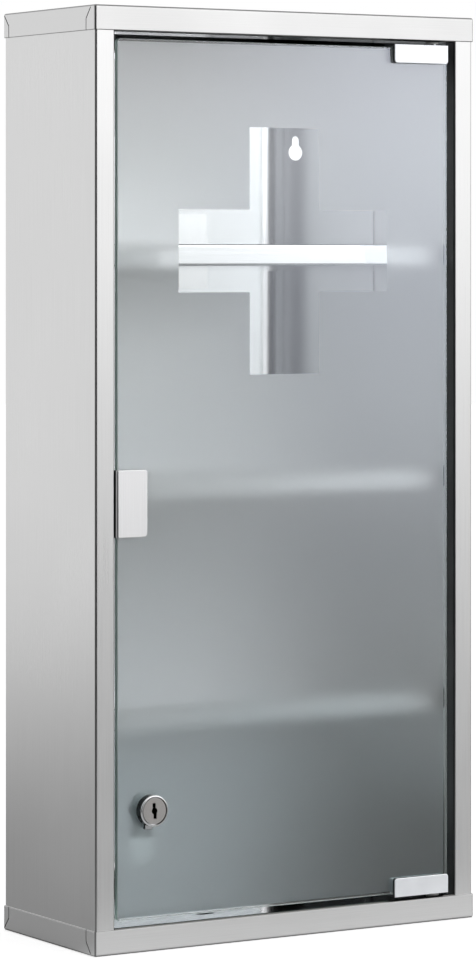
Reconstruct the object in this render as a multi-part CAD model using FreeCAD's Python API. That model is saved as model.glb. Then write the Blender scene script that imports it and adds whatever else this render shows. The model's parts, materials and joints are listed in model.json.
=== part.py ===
import FreeCAD
import Part
import math
import os

# Wall-hung medicine cabinet. A folded stainless body is closed by two slipped-on caps and holds three
# fixed shelves. The frosted glass door turns on pivot pins at its right side and carries a pull handle
# and a cam lock. X runs to the right, Y from the door towards the wall and Z up, in millimetres.
# The layout is drawn with Z = 0 at the base and Y = 0 at the body's rear face.

# Whole cabinet, over the caps
width = 290.0
depth = 122.0
height = 600.0

# Sheet, fits and cuts
body_sheet = 0.8
cap_sheet = 0.8
fold_radius = 1.2
fit_clearance = 0.05
running_clearance = 0.05
thrust_clearance = 0.1
overrun = 5.0

# Caps: trays whose front and rear tabs wrap round the corners on to the sides
cap_height = 16.0
cap_edge_radius = 1.6
cap_rim_radius = 0.5
cap_inner_room = 1.0
tab_front = 11.3
tab_rear = 7.6
tab_slant = 5.9
seam_width = 0.8
seam_top = 1.5
seam_slant_drop = 7.0

# Side panels
return_width = 14.4
lip_depth = 10.0
rear_flange = 12.0

# Rails above and below the door
rail_depth = 30.0
rail_rise = 0.8
rail_rear_flange = 10.0
drain_slot_length = 13.0
drain_slot_width = 7.0
drain_slot_setback = 20.0
drain_slot_offset = -52.0

# Back panel and its keyholes
keyhole_drop = 88.0
keyhole_spacing = 158.0
keyhole_radius = 5.5
keyhole_slot_width = 5.4
keyhole_slot_rise = 11.0

# Rivets
rivet_radius = 1.6
rivet_head_radius = 3.2
rivet_head_height = 0.7
rivet_tail_radius = 2.4
rivet_tail_length = 1.6
back_rivet_rows = 4
back_rivet_margin = 45.0
shelf_rivet_spacing = 100.0

# Shelves
shelf_count = 3
shelf_first = 153.0
shelf_pitch = 148.0
shelf_setback = 17.0
shelf_front_flange = 14.0
shelf_hem = 6.0
shelf_rear_flange = 18.0
shelf_side_gap = 0.3

# Door glass and its frosted film
glass_thickness = 4.0
glass_gap_left = 1.8
glass_gap_right = 5.8
glass_gap_top = 4.3
glass_gap_bottom = 4.1
glass_corner_radius = 2.5
glass_edge_bevel = 0.4
film_thickness = 0.2
film_margin = 1.5
cross_arm_width = 53.2
cross_length = 159.6
cross_drop = 155.4

# Pivot hinges
hinge_length = 42.6
hinge_inset = 1.0
hinge_height = 12.5
hinge_front_wall = 2.5
hinge_rear_wall = 5.0
hinge_base = 1.5
hinge_corner_radius = 2.2
hinge_edge_radius = 0.5
hinge_liner = 0.5
hinge_liner_reveal = 1.0
pivot_inset = 7.0
pin_radius = 1.75
pin_collar_radius = 3.2
pin_grip = 8.0
pin_reach = 5.0
bush_barrel_radius = 3.0
bush_barrel_length = 6.0
bush_flange_radius = 4.4
bush_flange = 1.2
set_screw_radius = 2.0
set_screw_spacing = 20.0
set_screw_socket = 1.0
set_screw_socket_depth = 2.0

# Pull handle clipped over the door's free edge
handle_width = 22.6
handle_height = 42.8
handle_drop = 9.4
handle_sheet = 1.2
handle_fold_radius = 1.0
handle_corner_radius = 2.6
handle_edge_radius = 0.4
handle_liner = 0.5
handle_liner_fold_radius = 0.4
handle_liner_reveal = 1.5

# Cam lock
lock_inset = 23.4
lock_height = 89.9
lock_hole_radius = 8.3
lock_head_radius = 10.1
lock_head_length = 6.0
lock_head_edge = 0.9
lock_barrel_radius = 8.0
lock_barrel_reach = 5.4
lock_lug_width = 5.0
lock_lug_height = 1.6
lock_lug_length = 2.4
lock_gasket = 0.6
lock_gasket_radius = 9.9
lock_washer = 0.8
lock_washer_radius = 12.0
lock_nut_flats = 21.0
lock_nut_height = 3.6
plug_head_radius = 8.3
plug_head_length = 2.0
plug_head_sink = 0.4
plug_head_gap = 0.6
plug_shank_radius = 5.5
plug_square = 7.0
plug_square_length = 1.4
key_slot_width = 2.3
key_slot_length = 10.0
key_slot_step = 0.7
key_bulge_radius = 2.1
key_depth = 8.0
cam_sheet = 1.6
cam_width = 16.0
cam_length = 36.0
cam_heel = 8.0
cam_crank = 3.0
cam_crank_start = 13.0
cam_crank_run = 4.0
cam_heel_radius = 7.5
cam_tip_radius = 3.0
cam_fold_radius = 1.6
cam_washer = 0.8
cam_washer_radius = 4.8
cam_screw_radius = 2.0
cam_screw_grip = 6.0
cam_screw_head_radius = 3.8
cam_screw_head = 2.4
cam_screw_slot = 1.0

# Magnetic catch on the middle shelf
catch_inset = 12.0
catch_width = 16.0
catch_height = 11.0
catch_ear = 7.0
catch_ear_thickness = 2.4
catch_edge_radius = 0.8
catch_gap = 0.3
magnet_width = 11.0
magnet_height = 5.0
magnet_depth = 6.0
pole_thickness = 1.2
pole_reveal = 0.4
catch_screw_radius = 1.4
catch_screw_head_radius = 2.6
catch_screw_head = 1.5
catch_screw_tail = 4.0
catch_screw_slot = 0.7

# Planes and centres that several pieces share
body_half = width / 2 - cap_sheet
body_front = 2 * cap_sheet - depth
inner_half = body_half - body_sheet
body_low = cap_sheet + cap_inner_room
body_high = height - body_low
back_inner = -2 * body_sheet
keyhole_height = height - keyhole_drop
cross_height = height - cross_drop
opening_half = body_half - return_width
sill_top = cap_height + rail_rise
head_low = height - sill_top
glass_left = glass_gap_left - opening_half
glass_right = opening_half - glass_gap_right
glass_low = sill_top + glass_gap_bottom
glass_high = head_low - glass_gap_top
glass_middle = (glass_left + glass_right) / 2
glass_rear = body_front + glass_thickness
door_rear = glass_rear + film_thickness
hinge_right = glass_right - hinge_inset
hinge_left = hinge_right - hinge_length
hinge_low = glass_low - hinge_liner - hinge_base
hinge_high = hinge_low + hinge_height
hinge_front = body_front - hinge_liner - hinge_front_wall
hinge_rear_inner = door_rear + hinge_liner
hinge_rear = hinge_rear_inner + hinge_rear_wall
pivot_x = glass_right - pivot_inset
pivot_y = hinge_rear_inner + hinge_rear_wall / 2
handle_left = glass_left - handle_liner - handle_sheet
handle_right = handle_left + handle_width
middle_shelf_top = shelf_first + shelf_pitch * (shelf_count // 2)
catch_level = middle_shelf_top - shelf_front_flange / 2
handle_low = catch_level - handle_drop - handle_height / 2
handle_front = body_front - handle_liner - handle_sheet
lock_x = glass_left + lock_inset
lock_head_rear = body_front - lock_gasket
lock_head_front = lock_head_rear - lock_head_length
barrel_end = door_rear + lock_barrel_reach
plug_front = lock_head_front + plug_head_sink
plug_end = barrel_end + thrust_clearance
cam_rear = plug_end + cam_sheet
shelf_front = body_front + shelf_setback
catch_x = glass_left + catch_inset
catch_front = door_rear + handle_liner + handle_sheet + catch_gap

V = FreeCAD.Vector
UP = V(0, 0, 1)
REARWARD = V(0, 1, 0)
RIGHT = V(1, 0, 0)
origin = V(0, -body_sheet, keyhole_height)
parallel_tolerance = 1e-6


def box(low, high):
    """Block between two opposite corners."""
    size = high - low
    return Part.makeBox(size.x, size.y, size.z, low)


def rod(radius, start, end):
    """Round bar from one point to another."""
    return Part.makeCylinder(radius, (end - start).Length, start, end - start)


def prism(points, travel):
    """Closed outline of straight lines, pushed along a vector."""
    outline = Part.makePolygon(points + points[:1])
    return Part.Face(outline).extrude(travel)


def turned(profile, axis, base):
    """Body of revolution from (radius, distance along the axis) pairs."""
    across = RIGHT
    points = [across * radius + axis * along for radius, along in profile]
    face = Part.Face(Part.makePolygon(points + points[:1]))
    shape = face.revolve(V(0, 0, 0), axis, 360)
    shape.translate(base)
    return shape


def round_edges(shape, radius, chosen):
    """Fillet the edges that a test picks."""
    edges = [edge for edge in shape.Edges if chosen(edge)]
    return shape.makeFillet(radius, edges)


def runs_along(edge, axis):
    """True for a straight edge parallel to an axis."""
    if edge.Curve.TypeId != "Part::GeomLine":
        return False
    return edge.Curve.Direction.isParallel(axis, parallel_tolerance)


def across_width(point):
    """Section point (y, z) of a piece that runs along X."""
    return V(0, point[0], point[1])


def in_plan(point):
    """Section point (x, y) of a piece that runs along Z."""
    return V(point[0], point[1], 0)


def folded_section(path, sheet, fold, place):
    """Face of a folded sheet of even thickness. The path is its centre line with sharp corners, and
    fold is the centre line's radius at each bend."""
    half = sheet / 2
    points = [V(a, b, 0) for a, b in path]
    heading = [(q - p).normalize() for p, q in zip(points, points[1:])]
    normal = [V(-d.y, d.x, 0) for d in heading]

    def spot(vector):
        return place((vector.x, vector.y))

    edges = []
    ends = []
    for side in (1, -1):
        here = points[0] + normal[0] * (side * half)
        ends.append(here)
        for bend in range(1, len(points) - 1):
            before, after = heading[bend - 1:bend + 1]
            n_in, n_out = normal[bend - 1:bend + 1]
            turn = before.getAngle(after)
            way = math.copysign(1, before.cross(after).z)
            centre = points[bend] - before * (fold * math.tan(turn / 2)) + n_in * (way * fold)
            radius = fold - way * side * half
            first = centre - n_in * (way * radius)
            middle = centre - (n_in + n_out).normalize() * (way * radius)
            last = centre - n_out * (way * radius)
            edges.append(Part.LineSegment(spot(here), spot(first)).toShape())
            edges.append(Part.Arc(spot(first), spot(middle), spot(last)).toShape())
            here = last
        tip = points[-1] + normal[-1] * (side * half)
        edges.append(Part.LineSegment(spot(here), spot(tip)).toShape())
        ends.append(tip)
    edges.append(Part.LineSegment(spot(ends[0]), spot(ends[2])).toShape())
    edges.append(Part.LineSegment(spot(ends[1]), spot(ends[3])).toShape())
    return Part.Face(Part.Wire(Part.__sortEdges__(edges)))


def mirrored_in_x(shape):
    """Left piece turned into its right twin."""
    return shape.mirror(V(0, 0, 0), RIGHT)


def mirrored_in_z(shape):
    """Piece at the cabinet's base turned into its twin at the top."""
    return shape.mirror(V(0, 0, height / 2), UP)


def mirrored_on_door(shape):
    """Piece at the pane's lower edge turned into its twin at the upper edge."""
    return shape.mirror(V(0, 0, (glass_low + glass_high) / 2), UP)


def lower_cap():
    """Tray under the body, with a seam beside each corner tab."""
    front = body_front - cap_sheet
    rear = cap_sheet
    outer = box(V(-width / 2, front, 0), V(width / 2, rear, cap_height))
    outer = round_edges(outer, cap_edge_radius, lambda edge: edge.BoundBox.ZMin < cap_height / 2)
    outer = round_edges(outer, cap_rim_radius, lambda edge: edge.BoundBox.ZMin > cap_height / 2)
    inner = box(V(-body_half, body_front, cap_sheet), V(body_half, 0, cap_height + overrun))
    inner = round_edges(inner, cap_edge_radius - cap_sheet, lambda edge: edge.BoundBox.ZMin < cap_height)
    tray = outer.cut(inner)
    for corner, inward, tab in ((front, 1, tab_front), (rear, -1, tab_rear)):
        path = [
            (corner + inward * (tab - tab_slant), seam_top),
            (corner + inward * tab, seam_top + seam_slant_drop),
            (corner + inward * tab, cap_height + overrun),
        ]
        seam = folded_section(path, seam_width, seam_width, across_width)
        seam = seam.extrude(RIGHT * (width + overrun))
        seam.translate(RIGHT * (-(width + overrun) / 2))
        tray = tray.cut(seam)
    return tray


def left_side():
    """Side wall folded into a front return with a jamb lip and into a rear flange."""
    half = body_sheet / 2
    path = [
        (half - opening_half - body_sheet, body_front + lip_depth),
        (half - opening_half - body_sheet, body_front + half),
        (half - body_half, body_front + half),
        (half - body_half, -half),
        (rear_flange - body_half, -half),
    ]
    section = folded_section(path, body_sheet, fold_radius, in_plan)
    panel = section.extrude(UP * (body_high - body_low))
    panel.translate(UP * body_low)
    return panel.cut(Part.makeCompound([rivet_hole(spot) for spot in back_rivet_spots()]))


def rivet_hole(spot):
    """Drilling for a rivet, whose head sits at the spot on the rear side."""
    return rod(rivet_radius + fit_clearance, spot + REARWARD * overrun, spot - REARWARD * overrun)


def rivet(spot, grip):
    """Blind rivet along Y: head on the rear side, tail past the sheets that it holds."""
    profile = [
        (0, rivet_head_height),
        (rivet_head_radius / 2, rivet_head_height),
        (rivet_head_radius, 0),
        (rivet_radius, 0),
        (rivet_radius, -grip),
        (rivet_tail_radius, -grip),
        (rivet_tail_radius, -grip - rivet_tail_length / 2),
        (rivet_radius, -grip - rivet_tail_length),
        (0, -grip - rivet_tail_length),
    ]
    return turned(profile, REARWARD, spot)


def back_rivet_spots():
    """Head seats of the rivets that hold the back panel to the rear flanges."""
    step = (height - 2 * back_rivet_margin) / (back_rivet_rows - 1)
    heights = [back_rivet_margin + row * step for row in range(back_rivet_rows)]
    offset = body_half - rear_flange / 2
    return [V(x, 0, z) for x in (-offset, offset) for z in heights]


def shelf_tops():
    """Heights of the shelves' upper faces."""
    return [shelf_first + shelf_pitch * index for index in range(shelf_count)]


def shelf_rivet_spots(top):
    """Head seats of the rivets that hold one shelf's rear flange to the back panel."""
    z = top - shelf_rear_flange / 2
    return [V(place * shelf_rivet_spacing, -body_sheet, z) for place in (-1, 0, 1)]


def keyhole(x):
    """Keyhole cut: a round head hole with a narrower slot rising from it."""
    low = V(x, back_inner - overrun, keyhole_height)
    high = V(x, overrun, keyhole_height)
    rise = UP * (keyhole_slot_rise - keyhole_slot_width / 2)
    slot_half = keyhole_slot_width / 2
    slot = box(low - RIGHT * slot_half, high + RIGHT * slot_half + rise)
    return rod(keyhole_radius, low, high).fuse([slot, rod(slot_half, low + rise, high + rise)])


def back_panel():
    """Flat sheet on the rear flanges, stopping short of their bends."""
    half = inner_half - (fold_radius - body_sheet / 2)
    sheet = box(V(-half, back_inner, body_low), V(half, -body_sheet, body_high))
    holes = [rivet_hole(spot) for spot in back_rivet_spots()]
    for top in shelf_tops():
        holes += [rivet_hole(spot) for spot in shelf_rivet_spots(top)]
    holes += [keyhole(x) for x in (-keyhole_spacing / 2, keyhole_spacing / 2)]
    return sheet.cut(Part.makeCompound(holes))


def sill_rail():
    """Folded rail below the door, with a hole for the pivot bush."""
    half = body_sheet / 2
    rear = body_front + rail_depth
    path = [
        (body_front + half, body_low),
        (body_front + half, sill_top - half),
        (rear - half, sill_top - half),
        (rear - half, sill_top - rail_rear_flange),
    ]
    rail = folded_section(path, body_sheet, fold_radius, across_width)
    rail = rail.extrude(RIGHT * (2 * opening_half))
    rail.translate(RIGHT * -opening_half)
    pivot = V(pivot_x, pivot_y, sill_top)
    hole = rod(bush_barrel_radius + fit_clearance, pivot - UP * overrun, pivot + UP * overrun)
    return rail.cut(hole)


def drain_slot():
    """Slot with round ends through the lower rail."""
    radius = drain_slot_width / 2
    low = V(drain_slot_offset, body_front + drain_slot_setback, sill_top - overrun)
    shift = RIGHT * ((drain_slot_length - drain_slot_width) / 2)
    rise = UP * (2 * overrun)
    ends = [rod(radius, low + shift * side, low + shift * side + rise) for side in (-1, 1)]
    middle = box(low - shift - REARWARD * radius, low + shift + REARWARD * radius + rise)
    return middle.fuse(ends)


def shelf(top):
    """Shelf with a hemmed front flange and a rear flange against the back panel."""
    half = body_sheet / 2
    path = [
        (shelf_front + shelf_hem, top - shelf_front_flange + half),
        (shelf_front + half, top - shelf_front_flange + half),
        (shelf_front + half, top - half),
        (back_inner - half, top - half),
        (back_inner - half, top - shelf_rear_flange),
    ]
    shelf_half = inner_half - shelf_side_gap
    plate = folded_section(path, body_sheet, fold_radius, across_width)
    plate = plate.extrude(RIGHT * (2 * shelf_half))
    plate.translate(RIGHT * -shelf_half)
    return plate.cut(Part.makeCompound([rivet_hole(spot) for spot in shelf_rivet_spots(top)]))


def lower_bush():
    """Flanged bush in the lower rail, bored through for the pivot pin."""
    bore = pin_radius + running_clearance
    profile = [
        (bore, bush_flange),
        (bush_flange_radius, bush_flange),
        (bush_flange_radius, 0),
        (bush_barrel_radius, 0),
        (bush_barrel_radius, -bush_barrel_length),
        (bore, -bush_barrel_length),
    ]
    return turned(profile, UP, V(pivot_x, pivot_y, sill_top))


def glass():
    """Door pane with rounded corners, bevelled edges and the lock's hole."""
    pane = box(V(glass_left, body_front, glass_low), V(glass_right, glass_rear, glass_high))
    pane = round_edges(pane, glass_corner_radius, lambda edge: runs_along(edge, REARWARD))
    rim = [edge for edge in pane.Edges if not runs_along(edge, REARWARD)]
    pane = pane.makeChamfer(glass_edge_bevel, rim)
    return pane.cut(lock_bore(lock_hole_radius))


def lock_bore(radius):
    """Round cut through the door at the lock."""
    front = V(lock_x, body_front - overrun, lock_height)
    return rod(radius, front, front + REARWARD * (glass_thickness + 2 * overrun))


def film():
    """Frosted film on the pane's inner face, with a clear cross cut out of it."""
    low = V(glass_left + film_margin, glass_rear, glass_low + film_margin)
    high = V(glass_right - film_margin, door_rear, glass_high - film_margin)
    sheet = box(low, high)
    cuts = [lock_bore(lock_hole_radius)]
    for across, along in ((cross_arm_width, cross_length), (cross_length, cross_arm_width)):
        cut_low = V(glass_middle - across / 2, glass_rear - overrun, cross_height - along / 2)
        cut_high = V(glass_middle + across / 2, door_rear + overrun, cross_height + along / 2)
        cuts.append(box(cut_low, cut_high))
    return sheet.cut(cuts)


def set_screw_spots():
    """Outer ends of the two set screws in the lower hinge's rear wall."""
    centre = hinge_left + hinge_length / 2
    z = (glass_low + hinge_high) / 2
    return [V(centre + side * set_screw_spacing / 2, hinge_rear, z) for side in (-1, 1)]


def lower_hinge():
    """Cast clip round the pane's lower edge, drilled for the pivot pin and two set screws."""
    clip = box(V(hinge_left, hinge_front, hinge_low), V(hinge_right, hinge_rear, hinge_high))
    slot = box(
        V(hinge_left - overrun, body_front - hinge_liner, hinge_low + hinge_base),
        V(hinge_right + overrun, hinge_rear_inner, hinge_high + overrun),
    )
    clip = clip.cut(slot)
    clip = round_edges(
        clip,
        hinge_corner_radius,
        lambda edge: runs_along(edge, REARWARD) and edge.BoundBox.ZMin > hinge_high - hinge_corner_radius,
    )
    clip = round_edges(
        clip,
        hinge_edge_radius,
        lambda edge: edge.BoundBox.YMax < hinge_front + hinge_edge_radius,
    )
    drills = [rod(pin_radius + fit_clearance, pin_point(0), pin_point(pin_grip))]
    for spot in set_screw_spots():
        reach = REARWARD * (hinge_rear_wall + overrun)
        drills.append(rod(set_screw_radius + fit_clearance, spot + REARWARD * overrun, spot - reach))
    return clip.cut(drills)


def lower_hinge_liner():
    """Soft channel between the lower hinge and the pane."""
    channel = box(
        V(hinge_left + hinge_liner_reveal, body_front - hinge_liner, glass_low - hinge_liner),
        V(hinge_right - hinge_liner_reveal, hinge_rear_inner, hinge_high - hinge_liner_reveal),
    )
    pane = box(
        V(hinge_left - overrun, body_front, glass_low),
        V(hinge_right + overrun, door_rear, hinge_high + overrun),
    )
    return channel.cut(pane)


def set_screw(spot):
    """Headless screw with a hexagon socket, from the hinge's outer face to the liner."""
    screw = rod(set_screw_radius, spot, spot - REARWARD * hinge_rear_wall)
    socket = hexagon(set_screw_socket, spot + REARWARD * overrun, set_screw_socket_depth + overrun)
    return screw.cut(socket)


def hexagon(across_half, rear, length):
    """Hexagonal bar along Y, from its rear end towards the front."""
    corner = across_half / math.cos(math.pi / 6)
    turns = [math.pi / 3 * index for index in range(6)]
    points = [rear + V(corner * math.cos(turn), 0, corner * math.sin(turn)) for turn in turns]
    return prism(points, REARWARD * -length)


def pin_point(rise):
    """Point on the pivot's axis, measured up from the lower hinge's underside."""
    return V(pivot_x, pivot_y, hinge_low + rise)


def pivot_pin(drop):
    """Stepped pin in the lower hinge: grip in the clip, thrust collar and a shaft that turns in the bush.
    Drop is the distance from the hinge's outer face to the rail."""
    collar = drop - bush_flange - thrust_clearance
    profile = [
        (0, pin_grip),
        (pin_radius, pin_grip),
        (pin_radius, 0),
        (pin_collar_radius, 0),
        (pin_collar_radius, -collar),
        (pin_radius, -collar),
        (pin_radius, -drop - pin_reach),
        (0, -drop - pin_reach),
    ]
    return turned(profile, UP, pin_point(0))


def handle():
    """Clip folded over the pane's free edge, with rounded corners and a softened outer rim."""
    half = handle_sheet / 2
    front = handle_front + half
    rear = door_rear + handle_liner + half
    path = [
        (handle_right, front),
        (handle_left + half, front),
        (handle_left + half, rear),
        (handle_right, rear),
    ]
    clip = folded_section(path, handle_sheet, handle_fold_radius, in_plan).extrude(UP * handle_height)
    clip.translate(UP * handle_low)
    clip = round_edges(
        clip,
        handle_corner_radius,
        lambda edge: runs_along(edge, REARWARD) and edge.BoundBox.XMin > glass_left,
    )
    return round_edges(
        clip,
        handle_edge_radius,
        lambda edge: edge.BoundBox.YMax < handle_front + half and edge.BoundBox.XMax > glass_left,
    )


def handle_pad():
    """Soft strip between the handle and the pane."""
    half = handle_liner / 2
    path = [
        (handle_right - handle_liner_reveal, body_front - half),
        (glass_left - half, body_front - half),
        (glass_left - half, door_rear + half),
        (handle_right - handle_liner_reveal, door_rear + half),
    ]
    strip = folded_section(path, handle_liner, handle_liner_fold_radius, in_plan)
    strip = strip.extrude(UP * (handle_height - 2 * handle_liner_reveal))
    strip.translate(UP * (handle_low + handle_liner_reveal))
    return strip


def on_lock(profile):
    """Body turned about the lock's axis from (radius, y) pairs."""
    return turned(profile, REARWARD, V(lock_x, 0, lock_height))


def lock_ring(outer, inner, front, rear):
    """Flat ring round the lock's axis."""
    return on_lock([(inner, front), (outer, front), (outer, rear), (inner, rear)])


def lock_housing():
    """Head with a recess for the plug, a locating lug, and the barrel through the pane."""
    bore = plug_shank_radius + running_clearance
    recess = plug_head_radius + plug_head_gap
    recess_floor = plug_front + plug_head_length + thrust_clearance
    body = on_lock([
        (recess, lock_head_front),
        (lock_head_radius, lock_head_front),
        (lock_head_radius, lock_head_rear),
        (lock_barrel_radius, lock_head_rear),
        (lock_barrel_radius, barrel_end),
        (bore, barrel_end),
        (bore, recess_floor),
        (recess, recess_floor),
    ])
    rim = 2 * (lock_head_radius - lock_head_edge)
    body = round_edges(
        body,
        lock_head_edge,
        lambda edge: edge.BoundBox.YMax < lock_head_rear and edge.BoundBox.XLength > rim,
    )
    lug_foot = lock_height - lock_head_radius - lock_lug_height
    lug_low = V(lock_x - lock_lug_width, lock_head_rear - lock_lug_length, lug_foot)
    lug_high = V(lock_x, lock_head_rear, lock_height - recess)
    return body.fuse(box(lug_low, lug_high)).removeSplitter()


def lock_nut():
    """Hexagon nut on the barrel, behind the washer."""
    front = door_rear + lock_washer
    rear = front + lock_nut_height
    blank = hexagon(lock_nut_flats / 2, V(lock_x, rear, lock_height), lock_nut_height)
    return blank.cut(lock_bore(lock_barrel_radius + fit_clearance))


def key_slot():
    """Key's way into the plug: an upper and a lower slot, set apart sideways, and a round middle."""
    front = plug_front - overrun
    rear = plug_front + key_depth
    half = key_slot_width / 2
    cut = rod(key_bulge_radius, V(lock_x, front, lock_height), V(lock_x, rear, lock_height))
    for side in (-1, 1):
        centre = lock_x - side * key_slot_step / 2
        reach = lock_height + side * key_slot_length / 2
        low = V(centre - half, front, min(lock_height, reach))
        high = V(centre + half, rear, max(lock_height, reach))
        cut = cut.fuse(box(low, high))
    return cut


def lock_plug():
    """Turning plug: face with the key slot, shank, and a square tail for the cam."""
    body = on_lock([
        (0, plug_front),
        (plug_head_radius, plug_front),
        (plug_head_radius, plug_front + plug_head_length),
        (plug_shank_radius, plug_front + plug_head_length),
        (plug_shank_radius, plug_end),
        (0, plug_end),
    ])
    tail_end = plug_end + plug_square_length
    half = plug_square / 2
    tail_low = V(lock_x - half, plug_end, lock_height - half)
    tail = box(tail_low, V(lock_x + half, tail_end, lock_height + half))
    thread_end = V(lock_x, cam_rear + cam_washer - cam_screw_grip, lock_height)
    thread = rod(cam_screw_radius + fit_clearance, thread_end, V(lock_x, tail_end + overrun, lock_height))
    return body.fuse(tail).cut([key_slot(), thread])


def lock_cam():
    """Cranked lever on the plug's tail, pointing down while the door is unlocked."""
    middle = plug_end + cam_sheet / 2
    path = [
        (middle, lock_height + cam_heel),
        (middle, lock_height - cam_crank_start),
        (middle + cam_crank, lock_height - cam_crank_start - cam_crank_run),
        (middle + cam_crank, lock_height - cam_length),
    ]
    lever = folded_section(path, cam_sheet, cam_fold_radius, across_width).extrude(RIGHT * cam_width)
    lever.translate(RIGHT * (lock_x - cam_width / 2))
    lever = round_edges(
        lever,
        cam_heel_radius,
        lambda edge: runs_along(edge, REARWARD) and edge.BoundBox.ZMin > lock_height,
    )
    lever = round_edges(
        lever,
        cam_tip_radius,
        lambda edge: runs_along(edge, REARWARD) and edge.BoundBox.ZMax < lock_height - cam_crank_start,
    )
    half = plug_square / 2 + fit_clearance
    low = V(lock_x - half, plug_end - overrun, lock_height - half)
    return lever.cut(box(low, V(lock_x + half, cam_rear + overrun, lock_height + half)))


def cam_screw():
    """Slotted pan-head screw that holds the cam."""
    seat = cam_rear + cam_washer
    head_end = seat + cam_screw_head
    body = on_lock([
        (0, seat - cam_screw_grip),
        (cam_screw_radius, seat - cam_screw_grip),
        (cam_screw_radius, seat),
        (cam_screw_head_radius, seat),
        (cam_screw_head_radius, head_end),
        (0, head_end),
    ])
    half = cam_screw_slot / 2
    reach = cam_screw_head_radius + overrun
    low = V(lock_x - reach, head_end - cam_screw_slot, lock_height - half)
    return body.cut(box(low, V(lock_x + reach, head_end + overrun, lock_height + half)))


def catch_centre(y):
    """Point on the catch's axis, level with the middle shelf's front flange."""
    return V(catch_x, y, catch_level)


def catch_block(half_width, half_height, front, rear):
    """Block centred on the catch's axis."""
    spread = RIGHT * half_width + UP * half_height
    return box(catch_centre(front) - spread, catch_centre(rear) + spread)


def catch_screw_spots():
    """Head seats of the two screws in the catch's ears."""
    offset = catch_width / 2 + catch_ear / 2
    seat = catch_centre(shelf_front - catch_ear_thickness)
    return [seat + RIGHT * (side * offset) for side in (-1, 1)]


def catch_screw_hole(spot):
    """Drilling for one of the catch's screws."""
    return rod(catch_screw_radius + fit_clearance, spot - REARWARD * overrun, spot + REARWARD * overrun)


def catch_housing():
    """Plastic block with two screw ears and a pocket for the magnet and its pole plates."""
    face = catch_front + pole_reveal
    block = catch_block(catch_width / 2, catch_height / 2, face, shelf_front)
    block = round_edges(block, catch_edge_radius, lambda edge: runs_along(edge, REARWARD))
    ear_face = shelf_front - catch_ear_thickness
    ears = catch_block(catch_width / 2 + catch_ear, catch_height / 2, ear_face, shelf_front)
    ears = round_edges(ears, catch_height / 3, lambda edge: runs_along(edge, REARWARD))
    half_pocket = magnet_height / 2 + pole_thickness
    pocket = catch_block(magnet_width / 2, half_pocket, face - overrun, face + magnet_depth)
    holes = [catch_screw_hole(spot) for spot in catch_screw_spots()]
    return block.fuse(ears).removeSplitter().cut([pocket] + holes)


def catch_magnet():
    """Block magnet between the pole plates."""
    face = catch_front + pole_reveal
    return catch_block(magnet_width / 2, magnet_height / 2, face, face + magnet_depth)


def pole_plates():
    """Steel plates above and below the magnet, standing a little proud of the housing."""
    rear = catch_front + pole_reveal + magnet_depth
    both = catch_block(magnet_width / 2, magnet_height / 2 + pole_thickness, catch_front, rear)
    between = catch_block(magnet_width, magnet_height / 2, catch_front - overrun, rear + overrun)
    return both.cut(between)


def catch_screw(spot):
    """Slotted screw through an ear and the shelf's flange."""
    profile = [
        (0, -catch_screw_head),
        (catch_screw_head_radius / 2, -catch_screw_head),
        (catch_screw_head_radius, -catch_screw_head / 2),
        (catch_screw_head_radius, 0),
        (catch_screw_radius, 0),
        (catch_screw_radius, catch_screw_tail),
        (0, catch_screw_tail),
    ]
    body = turned(profile, REARWARD, spot)
    spread = RIGHT * (catch_screw_slot / 2) + UP * catch_screw_head_radius
    low = spot - REARWARD * (catch_screw_head + overrun) - spread
    high = spot - REARWARD * (catch_screw_head - catch_screw_slot) + spread
    return body.cut(box(low, high))


def export(name, shape):
    """Write one node, moved so that the origin is midway between the keyholes."""
    moved = shape.copy()
    moved.translate(V(0, 0, 0) - origin)
    moved.exportStep("parts/" + name + ".step")


def cabinet_nodes():
    """Pieces that stay with the body, by name."""
    cap = lower_cap()
    side = left_side()
    rail = sill_rail()
    bush = lower_bush()
    tops = shelf_tops()
    nodes = {
        "bottom_cap": cap,
        "top_cap": mirrored_in_z(cap),
        "left_side_panel": side,
        "right_side_panel": mirrored_in_x(side),
        "back_panel": back_panel(),
        "sill_rail": rail.cut(drain_slot()),
        "head_rail": mirrored_in_z(rail),
        "lower_pivot_bush": bush,
        "upper_pivot_bush": mirrored_in_z(bush),
        "catch_housing": catch_housing(),
        "catch_magnet": catch_magnet(),
        "catch_pole_plates": pole_plates(),
    }
    for name, top in zip(("lower_shelf", "middle_shelf", "upper_shelf"), tops):
        nodes[name] = shelf(top)
    screw_spots = catch_screw_spots()
    nodes["middle_shelf"] = nodes["middle_shelf"].cut([catch_screw_hole(spot) for spot in screw_spots])
    nodes["catch_screws"] = Part.makeCompound([catch_screw(spot) for spot in screw_spots])
    grip = 2 * body_sheet
    back_rivets = [rivet(spot, grip) for spot in back_rivet_spots()]
    shelf_rivets = [rivet(spot, grip) for top in tops for spot in shelf_rivet_spots(top)]
    nodes["back_panel_rivets"] = Part.makeCompound(back_rivets)
    nodes["shelf_rivets"] = Part.makeCompound(shelf_rivets)
    return nodes


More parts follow.
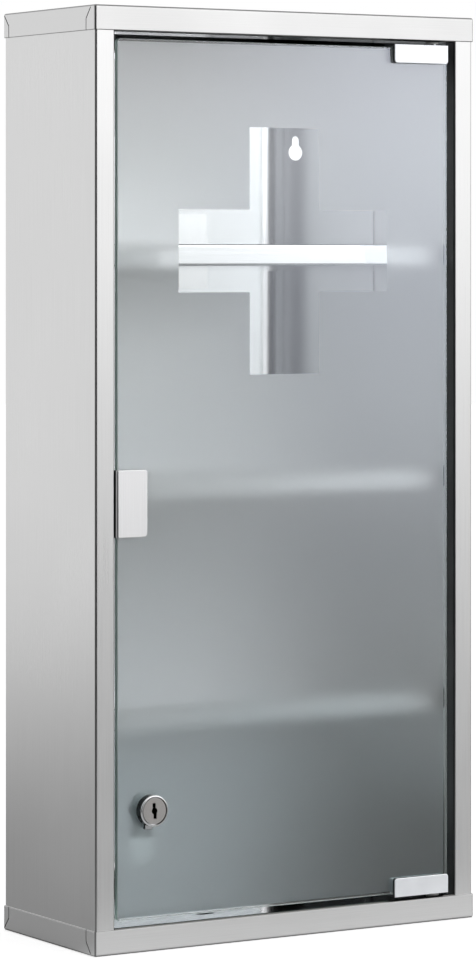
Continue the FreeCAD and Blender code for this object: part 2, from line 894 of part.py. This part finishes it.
def door_nodes():
    """Pieces that swing with the pane, by name."""
    hinge = lower_hinge()
    liner = lower_hinge_liner()
    lower_screws = [set_screw(spot) for spot in set_screw_spots()]
    upper_screws = [mirrored_on_door(screw) for screw in lower_screws]
    upper_drop = head_low - glass_high - hinge_liner - hinge_base
    washer_rear = door_rear + lock_washer
    bore = lock_barrel_radius + fit_clearance
    return {
        "door_glass": glass(),
        "frosted_film": film(),
        "lower_hinge_clip": hinge,
        "upper_hinge_clip": mirrored_on_door(hinge),
        "lower_hinge_liner": liner,
        "upper_hinge_liner": mirrored_on_door(liner),
        "lower_hinge_pin": pivot_pin(hinge_low - sill_top),
        "upper_hinge_pin": mirrored_on_door(pivot_pin(upper_drop)),
        "hinge_set_screws": Part.makeCompound(lower_screws + upper_screws),
        "pull_handle": handle(),
        "pull_handle_liner": handle_pad(),
        "lock_housing": lock_housing(),
        "lock_gasket": lock_ring(lock_gasket_radius, bore, lock_head_rear, body_front),
        "lock_washer": lock_ring(lock_washer_radius, bore, door_rear, washer_rear),
        "lock_nut": lock_nut(),
    }


def lock_nodes():
    """Pieces that turn with the key, by name."""
    washer_bore = cam_screw_radius + fit_clearance
    return {
        "lock_plug": lock_plug(),
        "lock_cam": lock_cam(),
        "cam_washer": lock_ring(cam_washer_radius, washer_bore, cam_rear, cam_rear + cam_washer),
        "cam_screw": cam_screw(),
    }


def main():
    """Build every node and write it."""
    os.makedirs("parts", exist_ok=True)
    for group in (cabinet_nodes(), door_nodes(), lock_nodes()):
        for name, shape in group.items():
            export(name, shape)


main()
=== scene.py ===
import json
import math
import bpy
from mathutils import Matrix, Vector


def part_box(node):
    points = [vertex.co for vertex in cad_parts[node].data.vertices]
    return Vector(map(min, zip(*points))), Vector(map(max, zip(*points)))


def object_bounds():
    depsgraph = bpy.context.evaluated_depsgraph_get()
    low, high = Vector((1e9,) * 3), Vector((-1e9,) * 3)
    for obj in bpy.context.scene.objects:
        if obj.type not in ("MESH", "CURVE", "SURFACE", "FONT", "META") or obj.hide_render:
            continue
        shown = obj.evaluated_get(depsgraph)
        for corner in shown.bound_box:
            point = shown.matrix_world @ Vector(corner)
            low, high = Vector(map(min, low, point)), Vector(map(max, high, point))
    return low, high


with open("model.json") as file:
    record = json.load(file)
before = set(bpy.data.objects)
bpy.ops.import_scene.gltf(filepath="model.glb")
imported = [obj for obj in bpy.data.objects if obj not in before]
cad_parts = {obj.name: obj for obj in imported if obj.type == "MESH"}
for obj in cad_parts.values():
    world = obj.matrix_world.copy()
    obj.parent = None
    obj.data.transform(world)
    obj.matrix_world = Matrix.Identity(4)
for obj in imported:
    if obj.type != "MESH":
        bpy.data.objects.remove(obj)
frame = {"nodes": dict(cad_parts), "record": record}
cad_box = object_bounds()

# Camera, matched to the photograph's 476 x 961 frame: level, with the view slid down by the shift
CAMERA_PLACE = Vector((-1.3773, -2.3037, -0.0687))
CAMERA_YAW = math.radians(31.5)
CAMERA_LENS = 149.2
CAMERA_SENSOR = 36.0
CAMERA_SHIFT_Y = -0.2368

# Directions, as unit vectors
UPWARDS = Vector((0.0, 0.0, 1.0))
BACKWARDS = Vector((0.0, 1.0, 0.0))
FRONT_RIGHT = Vector((math.sin(CAMERA_YAW), -math.cos(CAMERA_YAW), 0.0))
CAMERA_SIDE = Vector((-math.sin(CAMERA_YAW), -math.cos(CAMERA_YAW), 0.0))
ASIDE = Vector((math.cos(CAMERA_YAW), math.sin(CAMERA_YAW), 0.0))

# Surroundings: colours, strengths, and ranges of a heading's share along those directions
WHITE = (1.0, 1.0, 1.0, 1.0)
WORLD_FILL = 0.6
GLOW_STRENGTH = 1.08
GLOW_RISE = (-0.02, 0.05)
GLOW_FALL = (0.35, 0.7)
GLOW_SIDES = (0.75, 0.97)
PANEL_COLOUR = (0.80, 0.85, 1.0, 1.0)
PANEL_STRENGTH = 6.7
PANEL_RISE = (-0.13, 0.035)
PANEL_FALL = (0.06, 0.13)
PANEL_LEFT = (-0.03, 0.045)
PANEL_RIGHT = (0.07, 0.14)
DARK_SHARE = 0.95
DARK_THROUGH = 0.6
DARK_SIDES = (0.55, 0.85)

# Floor, in metres: its own look, and what metal and glass see of it
FLOOR_RADIUS = 9.0
FLOOR_SIDES = 96
FLOOR_PAPER = (0.88, 0.88, 0.88, 1.0)
FLOOR_ROUGHNESS = 0.9
FLOOR_FILL = 0.5
FLOOR_GREY = 0.49
FLOOR_CENTRE = (0.68, -1.1, 0.0)
FLOOR_FADE = (1.8, 3.7)
DARK_FLOOR = (0.5, 1.0)
PAPER_LINE = -0.16
PAPER_FADE = (0.03, 0.08)
PAPER_SHARE = 0.47

# Lamps, in metres and watts, and the bounces that light may take
LAMPS = {
    "key_softbox": {"place": (-1.7, -1.5, 1.1), "size": (1.3, 1.6), "power": 7.0},
    "right_softbox": {"place": (1.35, -1.9, 0.95), "size": (1.1, 1.5), "power": 10.0},
}
MOST_BOUNCES = 24

# Noise: the range that most of its values keep to, and its detail
NOISE_MIDDLE = (0.3, 0.7)
NOISE_ROUGHNESS = 0.55
FINE_DETAIL = 2.0
GRAIN_DETAIL = 3.0
CLOUD_DETAIL = 4.0

# Textures, in strokes or spots per metre, and bumps as strength and height in metres
GRAIN_ACROSS = 2600.0
GRAIN_ALONG = 14.0
GRAIN_BUMP = (0.08, 0.00004)
SMUDGES = 7.0
PEEL = 420.0
PEEL_BUMP = (0.05, 0.00005)
PLATING_CLOUDS = 60.0
PORES = 2400.0
PORE_BUMP = (0.15, 0.00005)
MOULDING_CLOUDS = 90.0

# Side panels: shares of the brushed tone by place, with painted light on the inner faces and painted shade
# on the jamb lips, the lower right inner wall and under the caps, and the lengths in metres that part those
# places
HALF_SHEET = 0.0004
# Painted shade on folds and rims: the slopes over which it fades in, and its share of the brushed tone
FOLD_SLOPES = (0.80, 0.99)
FOLD_SHADE_TONE = 0.25
INSIDE_LIGHT_TONE = 1.42
LIP_REACH = 0.0017
LIP_SHADE_TONE = 0.2
SHADE_RISE = (-0.46, -0.39)
SHADE_TONE = 0.1
CAP_SHADOW_TONE = 0.04

# Fittings: shares of their tone, with painted shade on their sides and a painted highlight on the rim, by
# how far a face turns to the front
SIDE_SHADE_TONE = 0.12
RIM_HIGHLIGHT_TONE = 1.05
RIM_RISE = (0.15, 0.45)
RIM_FALL = (0.93, 0.99)

# Pane: ground edges, by how far a face turns to the front, and the green of its body
GLASS_INDEX = 1.52
GROUND_SLOPES = (0.8, 0.95)
GROUND_ROUGHNESS = 0.7
GROUND_TINT = (0.30, 0.42, 0.39)
LAMPLIGHT_TINT = (0.93, 0.96, 0.95, 1.0)
GLASS_BODY = {"Color": (0.62, 0.86, 0.78, 1.0), "Density": 14.0}

# Film: its gap to the pane, and the heights at which its tone goes from cool (a painted reflection) to
# plain to pale (painted light), in metres
FILM_INDEX = 1.4
FILM_HAIR_GAP = 0.00003
FILM_COOL = (-0.50, -0.25)
FILM_PALE = (-0.01, 0.06)
COOL_TONE = (0.905, 0.945, 0.965)
PLAIN_TONE = (0.92, 0.926, 0.933)
PALE_TONE = (0.975, 0.965, 0.985, 1.0)
FILM_CLOUDS = 14.0
FILM_CLOUDING = 0.1
FILM_SPARKLE = 3800.0
FILM_ROUGHNESS = (0.66, 0.74)

# Plug, in metres: turned rings, and the depth over which painted shade darkens the key slot
PLUG_RINGS = {"Scale": 900.0, "Distortion": 1.5, "Detail": FINE_DETAIL}
PLUG_TONES = ((0.42, 0.405, 0.395), (0.54, 0.525, 0.515))
PLUG_ROUGHNESS = (0.28, 0.36)
PLUG_BUMP = (0.06, 0.00005)
SLOT_DEPTH = (0.0002, 0.0012)
SLOT_SHADE_TONE = (0.02, 0.02, 0.02, 1.0)

# Stainless sheet: the brushing's axis, the darker and the lighter tone, roughness and smudges
SHEETS = {
    "brushed_stainless": ("Z", (0.65, 0.65, 0.65), (0.70, 0.70, 0.70), 0.31, 0.03),
    "cap_stainless": ("X", (0.65, 0.65, 0.65), (0.70, 0.70, 0.70), 0.37, 0.03),
    "polished_stainless": ("X", (0.70, 0.71, 0.73), (0.74, 0.75, 0.77), 0.09, 0.03),
    "mirror_stainless": ("Z", (0.71, 0.72, 0.74), (0.75, 0.76, 0.78), 0.05, 0.02),
    # The rails' dark tone is painted shade, standing for the dark reflections in them
    "rail_stainless": ("X", (0.22, 0.215, 0.21), (0.26, 0.255, 0.25), 0.14, 0.03),
    "satin_steel": ("Z", (0.80, 0.80, 0.81), (0.86, 0.86, 0.87), 0.32, 0.03),
}

# Cast and plated metal: the darker and the lighter tone, roughness and its spread
PLATINGS = {
    "rivet_aluminium": ((0.70, 0.70, 0.70), (0.80, 0.80, 0.80), 0.30, 0.06),
    "zinc_plated_steel": ((0.58, 0.59, 0.61), (0.68, 0.69, 0.71), 0.28, 0.06),
    "bright_zinc": ((0.76, 0.77, 0.78), (0.84, 0.85, 0.86), 0.30, 0.05),
    "chrome": ((0.70, 0.71, 0.72), (0.78, 0.79, 0.80), 0.12, 0.03),
    "satin_chrome": ((0.86, 0.88, 0.91), (0.90, 0.92, 0.95), 0.40, 0.04),
    "magnet": ((0.07, 0.07, 0.075), (0.11, 0.11, 0.115), 0.55, 0.06),
}

# Plastic and rubber: the darker and the lighter tone, roughness and its spread
MOULDINGS = {
    "white_nylon": ((0.80, 0.80, 0.78), (0.86, 0.86, 0.84), 0.42, 0.06),
    "clear_liner": ((0.50, 0.52, 0.52), (0.58, 0.60, 0.60), 0.35, 0.05),
    "black_gasket": ((0.025, 0.025, 0.027), (0.05, 0.05, 0.052), 0.55, 0.06),
}

# Nodes that take another finish than their slot's
OTHER_FINISH = {
    "bottom_cap": "cap_stainless",
    "top_cap": "cap_stainless",
    "back_panel": "mirror_stainless",
    # The rails take a dark tone that is painted shade
    "sill_rail": "rail_stainless",
    "head_rail": "rail_stainless",
    "pull_handle": "satin_steel",
    "lock_cam": "bright_zinc",
    "upper_hinge_clip": "satin_chrome",
    "lower_hinge_clip": "satin_chrome",
}


class Nodes:
    """Short calls for making the nodes of one tree."""

    def __init__(self, tree):
        self.tree = tree

    def node(self, kind, inputs=None, **settings):
        """New node with its settings, plain input values and links from other nodes' sockets."""
        made = self.tree.nodes.new("ShaderNode" + kind)
        for name, value in settings.items():
            setattr(made, name, value)
        for name, value in (inputs or {}).items():
            if isinstance(value, bpy.types.NodeSocket):
                self.tree.links.new(value, made.inputs[name])
            else:
                made.inputs[name].default_value = value
        return made

    def shade(self, kind, inputs, output):
        """New shader node's output socket."""
        return self.node(kind, inputs).outputs[output]

    def math(self, operation, first, second=0.0):
        """Sum, difference or other plain operation on two values."""
        return self.node("Math", {0: first, 1: second}, operation=operation).outputs["Value"]

    def product(self, first, *others):
        """Product of two or more values."""
        for other in others:
            first = self.math("MULTIPLY", first, other)
        return first

    def rest(self, share):
        """What a share leaves of one."""
        return self.math("SUBTRACT", 1.0, share)

    def between(self, share, low, high):
        """Value that goes from low to high as a share goes from 0 to 1."""
        return self.math("ADD", self.product(share, high - low), low)

    def measure(self, operation, vector, other):
        """Dot product or distance of two vectors."""
        inputs = {0: vector, 1: tuple(other)}
        return self.node("VectorMath", inputs, operation=operation).outputs["Value"]

    def along(self, vector, way):
        """A vector's share along a direction."""
        return self.measure("DOT_PRODUCT", vector, way)

    def ease(self, value, low, high):
        """Smooth step from 0 at low to 1 at high."""
        inputs = {"Value": value, "From Min": low, "From Max": high}
        return self.node("MapRange", inputs, interpolation_type="SMOOTHSTEP").outputs["Result"]

    def hump(self, value, rise, fall):
        """Share that rises over one range of a value and falls over another."""
        return self.math("SUBTRACT", self.ease(value, *rise), self.ease(value, *fall))

    def path(self):
        """What is known of the ray that is being followed."""
        return self.node("LightPath").outputs

    def mirrored(self, path):
        """1 for a ray that comes by way of metal or glass, 0 for others."""
        return self.math("MAXIMUM", path["Is Glossy Ray"], path["Is Transmission Ray"])

    def sharp(self, path):
        """1 for the pane's own mirror image, 0 for other rays."""
        return self.product(path["Is Reflection Ray"], path["Is Singular Ray"])

    def darkness(self, path):
        """Share taken off the dark side: most for a mirror image, less for what is seen through glass."""
        return self.between(path["Is Reflection Ray"], DARK_THROUGH, DARK_SHARE)


class Paint(Nodes):
    """One procedural material: a Principled surface and the textures that feed it."""

    def __init__(self, name, **values):
        self.material = bpy.data.materials.new(name)
        self.material.use_nodes = True
        super().__init__(self.material.node_tree)
        self.surface = self.tree.nodes["Principled BSDF"]
        self.output = self.tree.nodes["Material Output"]
        for socket, value in values.items():
            self.surface.inputs[socket.replace("_", " ")].default_value = value

    def feed(self, socket, source):
        """Link a socket into one of the surface's inputs."""
        self.tree.links.new(source, self.surface.inputs[socket])

    def end_in(self, socket, source):
        """Link a shader into one of the output's inputs."""
        self.tree.links.new(source, self.output.inputs[socket])

    def spot(self):
        """The object's own coordinates in metres."""
        return self.node("TexCoord").outputs["Object"]

    def facing(self):
        """The direction that a face of the object turns to."""
        return self.node("TexCoord").outputs["Normal"]

    def frontness(self):
        """1 on faces that turn to the front or the back, 0 on faces square to those."""
        return self.math("ABSOLUTE", self.along(self.facing(), BACKWARDS))

    def parts(self, vector):
        """A vector's X, Y and Z."""
        return self.node("SeparateXYZ", {0: vector}).outputs

    def noise(self, scale, detail):
        """Noise from 0 to 1 at a scale on each axis."""
        place = self.node("Mapping", {"Vector": self.spot(), "Scale": scale}).outputs["Vector"]
        inputs = {"Vector": place, "Scale": 1.0, "Detail": detail, "Roughness": NOISE_ROUGHNESS}
        return self.node("TexNoise", inputs).outputs["Fac"]

    def even_noise(self, scale, detail):
        """Noise from 0 to 1 at one scale for all axes."""
        return self.noise((scale, scale, scale), detail)

    def spread(self, source, low, high, middle=NOISE_MIDDLE):
        """A value's middle range stretched from low to high."""
        least, most = middle
        inputs = {"Value": source, "From Min": least, "From Max": most, "To Min": low, "To Max": high}
        return self.node("MapRange", inputs).outputs["Result"]

    def tint(self, source, dark, light):
        """Colour between two tones, by a value's middle range."""
        ramp = self.node("ValToRGB", {"Fac": source})
        for element, position, colour in zip(ramp.color_ramp.elements, NOISE_MIDDLE, (dark, light)):
            element.position = position
            element.color = (*colour, 1.0)
        return ramp.outputs["Color"]

    def blend(self, share, first, second):
        """Colour between two others, by a share from 0 to 1."""
        return self.node("Mix", {"Factor": share, 6: first, 7: second}, data_type="RGBA").outputs[2]

    def toned(self, colour, tone):
        """Colour times a tone's share, where one is given."""
        if not tone:
            return colour
        scaled = {0: colour, "Scale": tone(self)}
        return self.node("VectorMath", scaled, operation="SCALE").outputs["Vector"]

    def bump(self, source, strength, distance):
        """Bump from a height, fed to the surface."""
        inputs = {"Height": source, "Strength": strength, "Distance": distance}
        self.feed("Normal", self.node("Bump", inputs).outputs["Normal"])

    def mix(self, share, first, second):
        """Shader between two others, by a share from 0 to 1."""
        return self.shade("MixShader", {0: share, 1: first, 2: second}, "Shader")

    def diffuse(self, grey):
        """Plain grey shader."""
        return self.shade("BsdfDiffuse", {"Color": (grey, grey, grey, 1.0)}, "BSDF")

    def light(self, strength):
        """Shader that gives white light."""
        return self.shade("Emission", {"Strength": strength}, "Emission")


def grain_scale(axis):
    """Noise scale of brushing that runs along an axis."""
    return tuple(GRAIN_ALONG if name == axis else GRAIN_ACROSS for name in "XYZ")


def fold_shade(paint):
    """Share of the brushed tone: whole on flat faces, less on folds and rims, where it paints shade."""
    facing = paint.node("VectorMath", {0: paint.facing()}, operation="ABSOLUTE")
    slopes = paint.parts(facing.outputs["Vector"])
    level = paint.math("MAXIMUM", paint.math("MAXIMUM", slopes["X"], slopes["Y"]), slopes["Z"])
    return paint.spread(level, FOLD_SHADE_TONE, 1.0, FOLD_SLOPES)


def inside_share(paint, spot, low, high):
    """1 on a side panel's inner faces, 0 on its outer skin."""
    within = paint.math("LESS_THAN", paint.math("ABSOLUTE", spot["X"]), high.x - HALF_SHEET)
    behind = paint.math("GREATER_THAN", spot["Y"], low.y + HALF_SHEET)
    before = paint.math("LESS_THAN", spot["Y"], high.y - HALF_SHEET)
    return paint.product(within, behind, before)


def covered_share(paint, height):
    """1 where a side panel is under one of the caps, 0 between them."""
    cap_low, cap_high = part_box("bottom_cap")[1][2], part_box("top_cap")[0][2]
    from_middle = paint.math("ABSOLUTE", paint.math("SUBTRACT", height, (cap_low + cap_high) / 2))
    return paint.math("GREATER_THAN", from_middle, (cap_high - cap_low) / 2)


def side_panel_light_and_shade(paint):
    """Share of the brushed tone on a side panel: painted light inside, painted shade on lips, lower right
    wall, folds and under caps.
    """
    low, high = (Vector(corner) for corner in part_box("right_side_panel"))
    lip_edge = low.x + LIP_REACH
    spot = paint.parts(paint.spot())
    lip = paint.math("LESS_THAN", paint.math("ABSOLUTE", spot["X"]), lip_edge)
    right = paint.math("GREATER_THAN", spot["X"], lip_edge)
    low_right = paint.product(right, paint.rest(paint.ease(spot["Z"], *SHADE_RISE)))
    # Painted shade on the jamb lips and the lower right inner wall, painted light on the other inner faces
    lip_shade = paint.product(lip, LIP_SHADE_TONE - INSIDE_LIGHT_TONE)
    wall_shade = paint.product(low_right, SHADE_TONE - INSIDE_LIGHT_TONE)
    inner = paint.math("ADD", paint.math("ADD", lip_shade, wall_shade), INSIDE_LIGHT_TONE - 1.0)
    skin = paint.math("ADD", paint.product(inside_share(paint, spot, low, high), inner), 1.0)
    # Painted shadow where the caps cover the panel
    shown = paint.between(covered_share(paint, spot["Z"]), 1.0, CAP_SHADOW_TONE)
    return paint.product(skin, shown, fold_shade(paint))


def fitting_shade_and_highlight(paint):
    """Share of a fitting's tone: whole on its face, more on the rim as a painted highlight and less on the
    sides as painted shade.
    """
    level = paint.frontness()
    rise = paint.product(paint.ease(level, *RIM_RISE), RIM_HIGHLIGHT_TONE - SIDE_SHADE_TONE)
    fall = paint.product(paint.ease(level, *RIM_FALL), RIM_HIGHLIGHT_TONE - 1.0)
    return paint.math("ADD", paint.math("SUBTRACT", rise, fall), SIDE_SHADE_TONE)


def stainless(name, axis, dark, light, rough, smudge, tone):
    """Stainless sheet brushed along an axis, with faint smudges in its shine."""
    paint = Paint(name, Metallic=1.0)
    grain = paint.noise(grain_scale(axis), GRAIN_DETAIL)
    cloud = paint.even_noise(SMUDGES, CLOUD_DETAIL)
    # A given tone scales the colour with painted light and shade
    paint.feed("Base Color", paint.toned(paint.tint(grain, dark, light), tone))
    streak = paint.spread(grain, rough - smudge, rough + smudge)
    haze = paint.spread(cloud, -smudge, smudge)
    paint.feed("Roughness", paint.math("ADD", streak, haze))
    paint.bump(grain, *GRAIN_BUMP)
    return paint.material


def plated(name, dark, light, rough, spread, tone):
    """Cast and plated metal with a faint orange peel."""
    paint = Paint(name, Metallic=1.0)
    cloud = paint.even_noise(PLATING_CLOUDS, CLOUD_DETAIL)
    # A given tone scales the colour with painted light and shade
    paint.feed("Base Color", paint.toned(paint.tint(cloud, dark, light), tone))
    paint.feed("Roughness", paint.spread(cloud, rough - spread, rough + spread))
    paint.bump(paint.even_noise(PEEL, FINE_DETAIL), *PEEL_BUMP)
    return paint.material


def moulded(name, dark, light, rough, spread):
    """Moulded plastic or rubber with a fine spark-eroded grain."""
    paint = Paint(name)
    cloud = paint.even_noise(MOULDING_CLOUDS, CLOUD_DETAIL)
    paint.feed("Base Color", paint.tint(cloud, dark, light))
    paint.feed("Roughness", paint.spread(cloud, rough - spread, rough + spread))
    paint.bump(paint.even_noise(PORES, FINE_DETAIL), *PORE_BUMP)
    return paint.material


def clear_glass():
    """Float glass with ground edges, green in its body, that lets lamplight reach what is behind it."""
    paint = Paint("clear_float_glass", Transmission_Weight=1.0, IOR=GLASS_INDEX)
    flat = paint.frontness()
    paint.feed("Roughness", paint.spread(flat, GROUND_ROUGHNESS, 0.0, GROUND_SLOPES))
    paint.feed("Base Color", paint.tint(flat, GROUND_TINT, WHITE[:3]))
    veil = paint.shade("BsdfTransparent", {"Color": LAMPLIGHT_TINT}, "BSDF")
    lamplight = paint.path()["Is Shadow Ray"]
    paint.end_in("Surface", paint.mix(lamplight, paint.surface.outputs["BSDF"], veil))
    paint.end_in("Volume", paint.shade("VolumeAbsorption", GLASS_BODY, "Volume"))
    return paint.material


def frosted():
    """Frosted film: rough glass with a fine sparkle in its scatter, painted cooler below as a reflection
    and paler above as light.
    """
    paint = Paint("frosted_film", Transmission_Weight=1.0, IOR=FILM_INDEX)
    height = paint.along(paint.spot(), UPWARDS)
    cloud = paint.even_noise(FILM_CLOUDS, CLOUD_DETAIL)
    clouding = paint.spread(cloud, -FILM_CLOUDING, FILM_CLOUDING)
    # Painted reflection: cooler towards the bottom; painted light: paler towards the top
    most = paint.tint(paint.math("ADD", paint.ease(height, *FILM_COOL), clouding), COOL_TONE, PLAIN_TONE)
    paint.feed("Base Color", paint.blend(paint.ease(height, *FILM_PALE), most, PALE_TONE))
    paint.feed("Roughness", paint.spread(paint.even_noise(FILM_SPARKLE, FINE_DETAIL), *FILM_ROUGHNESS))
    return paint.material


def rubbed_plug():
    """Satin nickel plug, turned in fine rings about the lock's axis, with painted shade inside the key
    slot.
    """
    low, high = (Vector(corner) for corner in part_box("lock_plug"))
    centre = (low + high) / 2
    paint = Paint("satin_nickel", Metallic=1.0)
    offset = {0: paint.spot(), 1: (centre.x, low.y, centre.z)}
    from_axis = paint.node("VectorMath", offset, operation="SUBTRACT").outputs["Vector"]
    turning = {"Vector": from_axis, **PLUG_RINGS}
    rings = paint.node("TexWave", turning, wave_type="RINGS", rings_direction="Y").outputs["Fac"]
    # Painted shade: the key slot goes dark with depth
    depth = paint.ease(paint.along(from_axis, BACKWARDS), *SLOT_DEPTH)
    paint.feed("Base Color", paint.blend(depth, paint.tint(rings, *PLUG_TONES), SLOT_SHADE_TONE))
    paint.feed("Roughness", paint.spread(rings, *PLUG_ROUGHNESS))
    paint.bump(rings, *PLUG_BUMP)
    return paint.material


def finishes():
    """Material of each of the record's slots, and the finishes that single nodes take instead."""
    # Painted light and shade that scale the colours of these finishes
    painted_light_and_shade = {
        "brushed_stainless": side_panel_light_and_shade,
        "cap_stainless": fold_shade,
        "satin_steel": fitting_shade_and_highlight,
        "chrome": fitting_shade_and_highlight,
        "satin_chrome": fitting_shade_and_highlight,
    }
    looks = {}
    for name, facts in SHEETS.items():
        looks[name] = stainless(name, *facts, painted_light_and_shade.get(name))
    for name, facts in PLATINGS.items():
        looks[name] = plated(name, *facts, painted_light_and_shade.get(name))
    for name, facts in MOULDINGS.items():
        looks[name] = moulded(name, *facts)
    looks["satin_nickel"] = rubbed_plug()
    looks["door_glass"] = clear_glass()
    looks["frosted_film"] = frosted()
    return looks


def dress(nodes, looks):
    """Give every node its finish."""
    slot_of = {row["node"]: row["material_slot"] for row in frame["record"]["subparts"]}
    for name, piece in nodes.items():
        look = looks[OTHER_FINISH.get(name, slot_of[name])]
        if not piece.material_slots:
            piece.data.materials.append(look)
        for slot in piece.material_slots:
            slot.material = look


def plain_level(sky, path, heading):
    """Strength of the white surroundings, with a glow, a dark side and the pane's image of the floor."""
    height = sky.along(heading, UPWARDS)
    mirrored = sky.mirrored(path)
    ahead = sky.ease(sky.along(heading, FRONT_RIGHT), *GLOW_SIDES)
    glow = sky.product(sky.hump(height, GLOW_RISE, GLOW_FALL), ahead, GLOW_STRENGTH)
    dark = sky.product(sky.ease(sky.along(heading, CAMERA_SIDE), *DARK_SIDES), sky.darkness(path))
    shape = sky.product(sky.math("SUBTRACT", glow, dark), mirrored)
    seen = sky.math("MAXIMUM", path["Is Camera Ray"], mirrored)
    plain = sky.between(seen, WORLD_FILL, 1.0)
    floor = sky.product(sky.math("LESS_THAN", height, 0.0), sky.sharp(path), FLOOR_GREY)
    return sky.math("SUBTRACT", sky.math("ADD", plain, shape), floor)


def panel_level(sky, path, heading):
    """Strength of the soft panel at the front right, which only the pane's mirror image shows."""
    tall = sky.hump(sky.along(heading, UPWARDS), PANEL_RISE, PANEL_FALL)
    wide = sky.hump(sky.along(heading, ASIDE), PANEL_LEFT, PANEL_RIGHT)
    ahead = sky.math("GREATER_THAN", sky.along(heading, FRONT_RIGHT), 0.0)
    return sky.product(tall, wide, ahead, sky.sharp(path), PANEL_STRENGTH)


def make_world():
    """White surroundings with a glow and a small soft panel at the front right, dark behind the camera."""
    world = bpy.data.worlds.new("studio")
    bpy.context.scene.world = world
    world.use_nodes = True
    sky = Nodes(world.node_tree)
    path = sky.path()
    heading = sky.node("TexCoord").outputs["Generated"]
    white = {"Color": WHITE, "Strength": plain_level(sky, path, heading)}
    blue = {"Color": PANEL_COLOUR, "Strength": panel_level(sky, path, heading)}
    lights = [sky.shade("Background", facts, "Background") for facts in (white, blue)]
    both = sky.shade("AddShader", dict(enumerate(lights)), "Shader")
    world.node_tree.links.new(both, world.node_tree.nodes["World Output"].inputs["Surface"])


def paper_share(paint, spot):
    """Share of lit paper on the floor: a strip in front of the cabinet, and all that is further out."""
    far = paint.ease(paint.measure("DISTANCE", spot, FLOOR_CENTRE), *FLOOR_FADE)
    from_line = paint.math("SUBTRACT", paint.along(spot, BACKWARDS), PAPER_LINE)
    strip = paint.rest(paint.ease(paint.math("ABSOLUTE", from_line), *PAPER_FADE))
    bare = paint.product(paint.rest(far), paint.rest(paint.product(strip, PAPER_SHARE)))
    return paint.rest(bare)


def dark_share(paint, path, spot):
    """Share taken off the floor towards the camera, beyond the cabinet's own place."""
    aim = paint.node("VectorMath", {0: spot}, operation="NORMALIZE").outputs["Vector"]
    side = paint.ease(paint.along(aim, CAMERA_SIDE), *DARK_SIDES)
    off = paint.ease(paint.measure("DISTANCE", spot, (0.0, 0.0, 0.0)), *DARK_FLOOR)
    return paint.product(side, off, paint.mirrored(path), paint.darkness(path))


def floor_paper():
    """Pale paper, which metal and glass see grey, lit or dark, and the pane's mirror image not at all."""
    paint = Paint("floor_paper", Roughness=FLOOR_ROUGHNESS, Base_Color=FLOOR_PAPER)
    path = paint.path()
    spot = paint.spot()
    lit = paint.product(paper_share(paint, spot), paint.mirrored(path))
    grey = paint.mix(lit, paint.diffuse(FLOOR_GREY), paint.light(1.0))
    around = paint.mix(dark_share(paint, path, spot), grey, paint.diffuse(0.0))
    reflected = paint.mix(paint.sharp(path), around, paint.shade("BsdfTransparent", {}, "BSDF"))
    paper = {0: paint.surface.outputs["BSDF"], 1: paint.light(FLOOR_FILL)}
    seen = paint.shade("AddShader", paper, "Shader")
    paint.end_in("Surface", paint.mix(path["Is Camera Ray"], reflected, seen))
    return paint.material


def make_floor():
    """Round floor under the cabinet."""
    bpy.ops.mesh.primitive_circle_add(
        vertices=FLOOR_SIDES, radius=FLOOR_RADIUS, fill_type="NGON", location=(0.0, 0.0, cad_box[0].z)
    )
    floor = bpy.context.object
    floor.name = "floor"
    floor.data.materials.append(floor_paper())


def make_lamps(target):
    """Soft boxes that face the cabinet."""
    for name, facts in LAMPS.items():
        lamp = bpy.data.lights.new(name, "AREA")
        lamp.shape = "RECTANGLE"
        lamp.size, lamp.size_y = facts["size"]
        lamp.energy = facts["power"]
        holder = bpy.data.objects.new(name, lamp)
        bpy.context.collection.objects.link(holder)
        holder.visible_glossy = False
        holder.location = facts["place"]
        holder.rotation_euler = (target - holder.location).to_track_quat("-Z", "Y").to_euler()


def make_camera():
    """Level camera at the photograph's angle."""
    data = bpy.data.cameras.new("camera")
    data.lens = CAMERA_LENS
    data.sensor_width = CAMERA_SENSOR
    data.shift_y = CAMERA_SHIFT_Y
    camera = bpy.data.objects.new("camera", data)
    bpy.context.collection.objects.link(camera)
    camera.matrix_world = (
        Matrix.Translation(CAMERA_PLACE)
        @ Matrix.Rotation(-CAMERA_YAW, 4, "Z")
        @ Matrix.Rotation(math.pi / 2, 4, "X")
    )
    bpy.context.scene.camera = camera


def part_from_pane(film):
    """Draw the film in by a hair, so that its face doesn't lie in the pane's."""
    shrink = film.modifiers.new("hair_gap", "DISPLACE")
    shrink.mid_level = 0.0
    shrink.strength = -FILM_HAIR_GAP


def let_light_through():
    """Enough bounces for light to go in through the door, round the shelves and out again."""
    cycles = bpy.context.scene.cycles
    cycles.max_bounces = MOST_BOUNCES
    cycles.glossy_bounces = MOST_BOUNCES // 2
    cycles.transmission_bounces = MOST_BOUNCES


bpy.context.scene.view_settings.view_transform = "Standard"
let_light_through()
part_from_pane(frame["nodes"]["frosted_film"])
dress(frame["nodes"], finishes())
make_world()
make_floor()
make_lamps((cad_box[0] + cad_box[1]) / 2)
make_camera()
